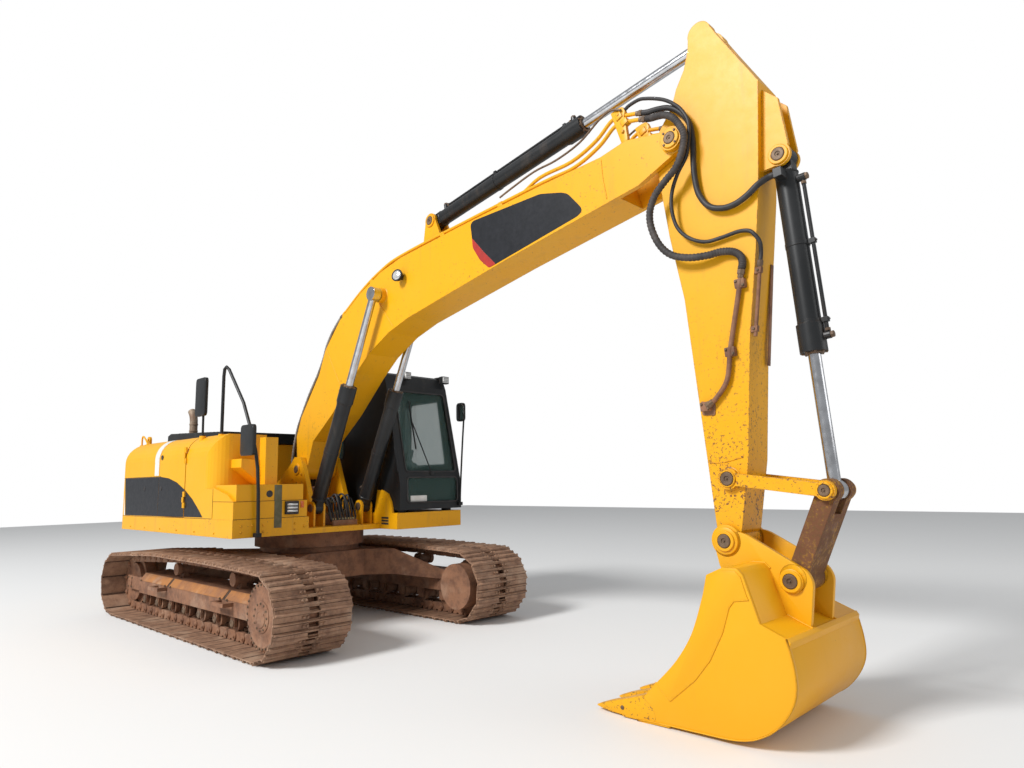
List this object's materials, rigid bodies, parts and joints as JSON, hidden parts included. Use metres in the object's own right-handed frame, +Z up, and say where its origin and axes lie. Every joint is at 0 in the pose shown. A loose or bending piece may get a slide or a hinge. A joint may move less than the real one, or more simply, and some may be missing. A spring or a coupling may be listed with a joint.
{
  "type": "crawler excavator",
  "caption": "Yellow crawler excavator on rusty triple-grouser tracks, boom raised forward, stick hanging, bucket curled on the ground, cab on the left",
  "frame": {"origin": "on the ground under the swing axis", "axes": "+X forward along the boom, +Y to the cab side, +Z up"},
  "size_m": [9.1024, 3.17, 4.9338],
  "materials": {
    "yellow_paint": "semi-gloss machine paint, worn on the arm",
    "rusty_steel": "brown rust film over worn steel",
    "black_paint": "satin black paint",
    "dark_barrel": "dark grey cylinder paint",
    "chrome_rod": "hard chrome",
    "glass": "green tinted safety glass",
    "pin_steel": "worn pin steel",
    "seat_fabric": "dark seat cover",
    "hose_rubber": "black hydraulic hose",
    "pipe_steel": "heat-stained steel"
  },
  "bodies": {
    "undercarriage": {"track_frame": "rusty_steel", "track_right": "rusty_steel", "track_left": "rusty_steel", "sprockets": "rusty_steel", "idlers": "rusty_steel", "rollers": "rusty_steel"},
    "upper": {"main_frame": "yellow_paint", "counterweight": "yellow_paint", "engine_block": "black_paint", "engine_housing": "yellow_paint", "fuel_tank": "yellow_paint", "tool_box": "yellow_paint", "handrail": "black_paint", "mirrors": "black_paint", "cab_shell": "black_paint", "cab_glass": "glass", "operator_seat": "seat_fabric", "work_lamps": "black_paint", "valve_block": "rusty_steel", "frame_pins": "pin_steel"},
    "hood_lid": {"hood": "black_paint", "exhaust_pipe": "pipe_steel"},
    "right_side_door": {"right_door": "yellow_paint"},
    "left_side_door": {"left_door": "yellow_paint"},
    "cab_side_door": {"cab_door": "black_paint"},
    "boom_arm": {"boom": "yellow_paint", "boom_pipes": "yellow_paint", "boom_lamp": "pin_steel", "boom_pins": "pin_steel", "stick_hoses": "hose_rubber", "boom_hoses": "hose_rubber"},
    "boom_barrels": {"boom_cylinder_barrels": "dark_barrel"},
    "boom_rods": {"boom_cylinder_rods": "chrome_rod"},
    "stick_barrel": {"stick_cylinder_barrel": "dark_barrel"},
    "stick_rod": {"stick_cylinder_rod": "chrome_rod"},
    "stick_arm": {"stick": "yellow_paint", "stick_pipes": "rusty_steel", "stick_pins": "pin_steel"},
    "bucket_barrel": {"bucket_cylinder_barrel": "dark_barrel"},
    "bucket_rod": {"bucket_cylinder_rod": "chrome_rod"},
    "idler_link": {"idler_links": "yellow_paint"},
    "tipping_link": {"power_link": "rusty_steel"},
    "bucket_body": {"bucket": "yellow_paint", "bucket_teeth": "yellow_paint", "bucket_pins": "pin_steel"}
  },
  "joints": [
    {"name": "swing", "type": "hinge", "parent": "undercarriage", "child": "upper", "pos_m": [0, 0, 0.95], "axis": [0, 0, 1], "continuous": true},
    {"name": "boom_lift", "type": "hinge", "parent": "upper", "child": "boom_arm", "pos_m": [0.12, 0, 1.76], "axis": [0, -1, 0], "range_deg": [-65, 36], "deforming": ["boom_hoses"]},
    {"name": "stick_swing", "type": "hinge", "parent": "boom_arm", "child": "stick_arm", "pos_m": [5.38542, 0, 4.06041], "axis": [0, -1, 0], "range_deg": [-44, 68], "deforming": ["stick_hoses"]},
    {"name": "bucket_curl", "type": "hinge", "parent": "stick_arm", "child": "bucket_body", "pos_m": [5.61452, 0, 1.14941], "axis": [0, -1, 0], "range_deg": [-60, 75]},
    {"name": "cab_door_hinge", "type": "hinge", "parent": "upper", "child": "cab_side_door", "pos_m": [0.127, 1.4, 1.9], "axis": [0, 0, 1], "range_deg": [0, 120]},
    {"name": "hood_hinge", "type": "hinge", "parent": "upper", "child": "hood_lid", "pos_m": [-2.43, 0, 2.172], "axis": [0, -1, 0], "range_deg": [0, 60]},
    {"name": "right_door_hinge", "type": "hinge", "parent": "upper", "child": "right_side_door", "pos_m": [-0.365, -1.4, 1.7], "axis": [0, 0, 1], "range_deg": [0, 100]},
    {"name": "left_door_hinge", "type": "hinge", "parent": "upper", "child": "left_side_door", "pos_m": [-0.715, 1.4, 1.7], "axis": [0, 0, -1], "range_deg": [0, 100]},
    {"name": "boom_barrel_tilt", "type": "hinge", "parent": "upper", "child": "boom_barrels", "pos_m": [0.665, 0, 1.31], "axis": [0, -1, 0], "range_deg": [-69.01, 38.89]},
    {"name": "boom_rod_slide", "type": "slide", "parent": "boom_barrels", "child": "boom_rods", "axis": [0.4279, 0, 0.9038], "range_m": [-0.749, 0.416]},
    {"name": "stick_barrel_tilt", "type": "hinge", "parent": "boom_arm", "child": "stick_barrel", "pos_m": [2.41856, 0, 4.292], "axis": [0, -1, 0], "range_deg": [-2.82, 3.54]},
    {"name": "stick_rod_slide", "type": "slide", "parent": "stick_barrel", "child": "stick_rod", "axis": [0.9855, 0, 0.1697], "range_m": [-0.882, 0.572]},
    {"name": "bucket_barrel_tilt", "type": "hinge", "parent": "stick_arm", "child": "bucket_barrel", "pos_m": [6.11132, 0, 3.73335], "axis": [0, -1, 0], "range_deg": [-3.03, 2.73]},
    {"name": "bucket_rod_slide", "type": "slide", "parent": "bucket_barrel", "child": "bucket_rod", "axis": [0.0748, 0, -0.9972], "range_m": [-0.619, 0.496]},
    {"name": "idler_link_swing", "type": "hinge", "parent": "stick_arm", "child": "idler_link", "pos_m": [5.65054, 0, 1.55849], "axis": [0, -1, 0], "range_deg": [-50.29, 62.49]},
    {"name": "tipping_link_swing", "type": "hinge", "parent": "bucket_body", "child": "tipping_link", "pos_m": [6.04098, 0, 0.92265], "axis": [0, -1, 0], "range_deg": [-53.91, 43.43]}
  ],
  "couplings": [
    {"joint": "boom_barrel_tilt", "follows": "boom_lift", "ratio": 1.0386},
    {"joint": "boom_rod_slide", "follows": "boom_lift", "m_per_rad": 0.6565},
    {"joint": "stick_barrel_tilt", "follows": "stick_swing", "ratio": 0.03},
    {"joint": "stick_rod_slide", "follows": "stick_swing", "m_per_rad": -0.7399},
    {"joint": "bucket_barrel_tilt", "follows": "bucket_curl", "ratio": -0.0204},
    {"joint": "bucket_rod_slide", "follows": "bucket_curl", "m_per_rad": -0.4697},
    {"joint": "idler_link_swing", "follows": "bucket_curl", "ratio": 0.8132},
    {"joint": "tipping_link_swing", "follows": "bucket_curl", "ratio": -0.6988}
  ]
}
